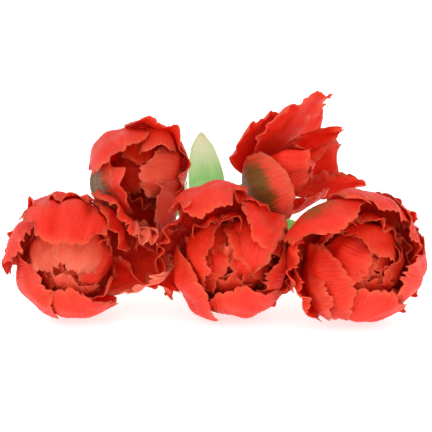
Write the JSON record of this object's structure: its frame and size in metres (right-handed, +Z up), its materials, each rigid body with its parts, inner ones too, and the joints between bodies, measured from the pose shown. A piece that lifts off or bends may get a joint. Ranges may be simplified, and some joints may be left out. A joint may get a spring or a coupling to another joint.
{
  "type": "artificial tulip bouquet",
  "caption": "Tied bunch of artificial parrot tulips with ruffled red heads on wire-cored green stems, each with a slim leaf, laid flat with the heads to the front.",
  "frame": {"origin": "centre of the footprint of the whole bunch, on the surface that it lies on", "axes": "+Y from the flower heads to the cut ends of the stems, +Z up, +X to the right of a viewer who faces the flower heads"},
  "size_m": [0.2624, 0.4488, 0.1408],
  "materials": {
    "petal": "coated cloth, soft satin",
    "flower_core": "moulded, matte",
    "stem": "moulded, soft satin",
    "leaf": "moulded, soft satin",
    "wire": "drawn wire",
    "band": "matte"
  },
  "bodies": {
    "stems": {"left_stem": "stem", "left_wire": "wire", "middle_stem": "stem", "middle_wire": "wire", "right_stem": "stem", "right_wire": "wire", "rubber_band": "band", "upper_left_stem": "stem", "upper_left_wire": "wire", "upper_right_stem": "stem", "upper_right_wire": "wire"},
    "head_left": {"left_core": "flower_core", "left_petal_inner_1": "petal", "left_petal_inner_2": "petal", "left_petal_inner_3": "petal", "left_petal_outer_1": "petal", "left_petal_outer_2": "petal", "left_petal_outer_3": "petal", "left_petal_outer_4": "petal", "left_petal_outer_5": "petal", "left_petal_outer_6": "petal"},
    "head_middle": {"middle_core": "flower_core", "middle_petal_heart_1": "petal", "middle_petal_inner_1": "petal", "middle_petal_inner_3": "petal", "middle_petal_outer_1": "petal", "middle_petal_outer_2": "petal", "middle_petal_outer_3": "petal", "middle_petal_outer_4": "petal", "middle_petal_outer_5": "petal"},
    "head_right": {"right_core": "flower_core", "right_petal_inner_1": "petal", "right_petal_inner_2": "petal", "right_petal_inner_3": "petal", "right_petal_outer_1": "petal", "right_petal_outer_2": "petal", "right_petal_outer_3": "petal", "right_petal_outer_4": "petal", "right_petal_outer_5": "petal", "right_petal_outer_6": "petal"},
    "head_upper_left": {"upper_left_core": "flower_core", "upper_left_petal_inner_1": "petal", "upper_left_petal_outer_1": "petal", "upper_left_petal_outer_2": "petal", "upper_left_petal_outer_3": "petal", "upper_left_petal_outer_4": "petal", "upper_left_petal_outer_5": "petal"},
    "head_upper_right": {"upper_right_core": "flower_core", "upper_right_petal_inner_1": "petal", "upper_right_petal_inner_2": "petal", "upper_right_petal_outer_1": "petal", "upper_right_petal_outer_2": "petal", "upper_right_petal_outer_3": "petal", "upper_right_petal_outer_4": "petal", "upper_right_petal_outer_5": "petal"},
    "leaf_left": {"left_leaf": "leaf"},
    "leaf_middle": {"middle_leaf": "leaf"},
    "leaf_right": {"right_leaf": "leaf"},
    "leaf_upper_left": {"upper_left_leaf": "leaf"},
    "leaf_upper_right": {"upper_right_leaf": "leaf"}
  },
  "joints": [
    {"name": "nod_left", "type": "hinge", "parent": "stems", "child": "head_left", "pos_m": [-0.08633, -0.13375, 0.04168], "axis": [0, 0, 1], "range_deg": [-20, 0]},
    {"name": "swing_left", "type": "hinge", "parent": "stems", "child": "leaf_left", "pos_m": [-0.04361, 0.00814, 0.02149], "axis": [-0.3054, -0.938, 0.164], "range_deg": [-12, 12]},
    {"name": "turn_middle", "type": "hinge", "parent": "stems", "child": "head_middle", "pos_m": [0.00874, -0.13172, 0.03598], "axis": [0, -0.9976, 0.0698], "range_deg": [0, 15]},
    {"name": "swing_middle", "type": "hinge", "parent": "stems", "child": "leaf_middle", "pos_m": [-0.00243, 0.0165, 0.01626], "axis": [0.0836, -0.9883, 0.1272], "range_deg": [-12, 12]},
    {"name": "nod_right", "type": "hinge", "parent": "stems", "child": "head_right", "pos_m": [0.08064, -0.14309, 0.03622], "axis": [0, 0, 1], "range_deg": [0, 20]},
    {"name": "swing_right", "type": "hinge", "parent": "stems", "child": "leaf_right", "pos_m": [0.02934, -0.00346, 0.01739], "axis": [0.3295, -0.937, 0.1161], "range_deg": [-15, 15]},
    {"name": "nod_upper_left", "type": "hinge", "parent": "stems", "child": "head_upper_left", "pos_m": [-0.05157, -0.09026, 0.08372], "axis": [-1, 0, 0], "range_deg": [0, 20]},
    {"name": "swing_upper_left", "type": "hinge", "parent": "stems", "child": "leaf_upper_left", "pos_m": [-0.02644, 0.0478, 0.03295], "axis": [-0.2112, -0.9195, 0.3314], "range_deg": [-12, 12]},
    {"name": "nod_upper_right", "type": "hinge", "parent": "stems", "child": "head_upper_right", "pos_m": [0.02368, -0.10668, 0.07188], "axis": [-1, 0, 0], "range_deg": [0, 20]},
    {"name": "swing_upper_right", "type": "hinge", "parent": "stems", "child": "leaf_upper_right", "pos_m": [-0.00527, 0.04604, 0.02363], "axis": [0.029, -0.9788, 0.203], "range_deg": [-20, 0]}
  ]
}
